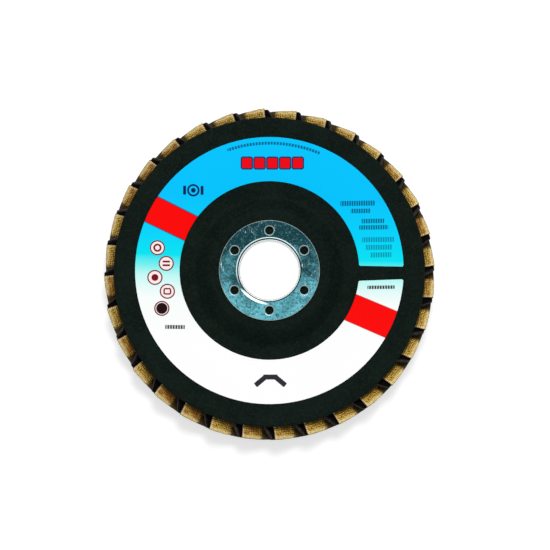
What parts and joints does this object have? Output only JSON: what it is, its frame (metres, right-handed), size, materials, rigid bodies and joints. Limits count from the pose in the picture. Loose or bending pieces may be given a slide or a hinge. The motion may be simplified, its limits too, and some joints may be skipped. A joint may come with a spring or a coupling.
{
  "type": "flap disc",
  "caption": "Round conical abrasive flap disc: leaning cloth flaps glued in a ring under a black moulded plate with a raised hub, a steel arbor ring and a printed paper label.",
  "frame": {"origin": "on the disc axis, at the level of the ground that the flaps lie on", "axes": "+Z along the arbor bore, towards the grinder and the label side; +X through the middle of the label's slot"},
  "size_m": [0.125, 0.125, 0.0161],
  "materials": {
    "plate_resin": "pressed glass fibre and phenolic resin, black, fine matte grain",
    "zinc_steel": "zinc plated sheet steel with fine scratches",
    "label_paper": "satin printed paper, blue fading to white with red bars",
    "bed_resin": "cured resin, dark, slightly glossy",
    "golden_cloth": "golden brown woven cloth backing with abrasive grain on its working side",
    "dark_cloth": "dark grey woven cloth backing with abrasive grain on its working side"
  },
  "bodies": {
    "root": {"backing_plate": "plate_resin", "arbor_ring": "zinc_steel", "label": "label_paper", "adhesive_bed": "bed_resin", "flap_01": "golden_cloth", "flap_02": "golden_cloth", "flap_03": "golden_cloth", "flap_04": "golden_cloth", "flap_05": "golden_cloth", "flap_06": "golden_cloth", "flap_07": "golden_cloth", "flap_08": "golden_cloth", "flap_09": "golden_cloth", "flap_10": "golden_cloth", "flap_11": "golden_cloth", "flap_12": "golden_cloth", "flap_13": "golden_cloth", "flap_14": "golden_cloth", "flap_15": "golden_cloth", "flap_16": "golden_cloth", "flap_17": "golden_cloth", "flap_18": "golden_cloth", "flap_19": "golden_cloth", "flap_20": "golden_cloth", "flap_21": "golden_cloth", "flap_22": "golden_cloth", "flap_23": "golden_cloth", "flap_24": "golden_cloth", "flap_25": "golden_cloth", "flap_26": "golden_cloth", "flap_27": "golden_cloth", "flap_28": "golden_cloth", "flap_29": "golden_cloth", "flap_30": "golden_cloth", "flap_31": "golden_cloth", "flap_32": "golden_cloth", "interleaf_01": "dark_cloth", "interleaf_02": "dark_cloth", "interleaf_03": "dark_cloth", "interleaf_04": "dark_cloth", "interleaf_05": "dark_cloth", "interleaf_06": "dark_cloth", "interleaf_07": "dark_cloth", "interleaf_08": "dark_cloth", "interleaf_09": "dark_cloth", "interleaf_10": "dark_cloth", "interleaf_11": "dark_cloth", "interleaf_12": "dark_cloth", "interleaf_13": "dark_cloth", "interleaf_14": "dark_cloth", "interleaf_15": "dark_cloth", "interleaf_16": "dark_cloth"}
  },
  "joints": []
}
